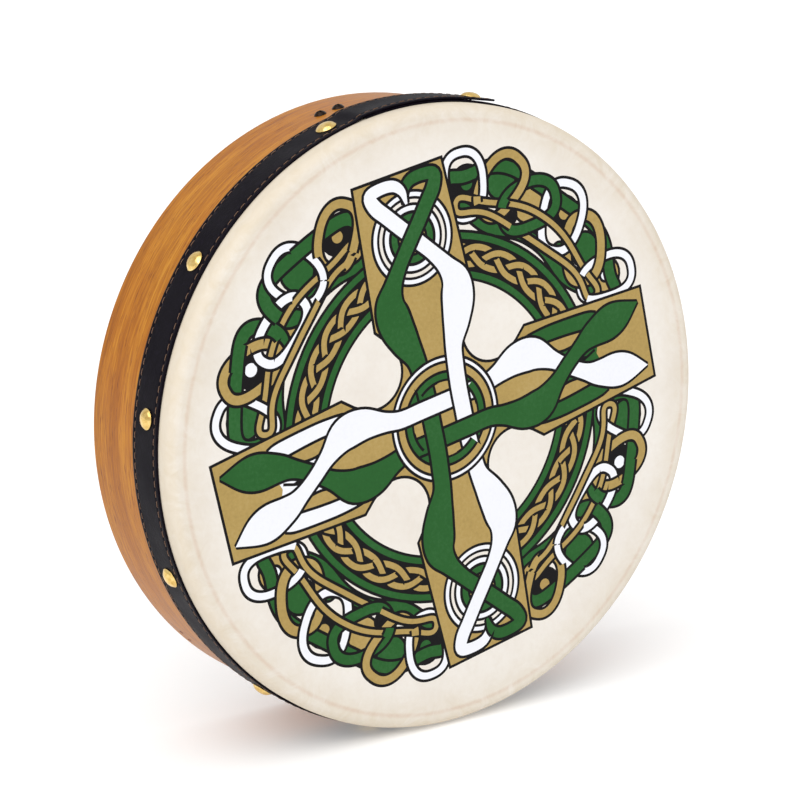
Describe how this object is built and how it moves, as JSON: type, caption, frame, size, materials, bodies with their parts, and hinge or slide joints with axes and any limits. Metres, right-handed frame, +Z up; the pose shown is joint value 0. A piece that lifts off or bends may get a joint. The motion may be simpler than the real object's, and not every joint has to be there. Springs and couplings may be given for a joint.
{
  "type": "bodhran",
  "caption": "Round hand-held frame drum with a printed skin head, a stitched dark trim strip held by domed tacks, a wooden hoop and a hand bar across the open back.",
  "frame": {"origin": "centre of the outline in plan, at the lowest point of the trim: the drum stands on its rim", "axes": "+Z up; the drum's axis lies along Y, with the playing face to -Y and the open back to +Y"},
  "size_m": [0.3872, 0.0952, 0.3861],
  "materials": {
    "hoop_wood": "honey stain under satin lacquer",
    "bar_wood": "honey stain under satin lacquer",
    "goatskin": "matt natural skin, printed in four inks on its face",
    "leatherette": "fine-grained, satin",
    "tape_cloth": "plain weave",
    "thread": "waxed twisted thread",
    "tack_brass": "polished, lightly aged",
    "screw_steel": "dark bronze coating",
    "pin_metal": "dull copper tone"
  },
  "bodies": {
    "root": {"shell_hoop": "hoop_wood", "scarf_pins": "pin_metal", "drumhead_skin": "goatskin", "trim_cover": "leatherette", "trim_backing_tape": "tape_cloth", "front_stitching": "thread", "back_stitching": "thread", "dome_tacks": "tack_brass", "hand_bar": "bar_wood", "bar_screws": "screw_steel"}
  },
  "joints": []
}
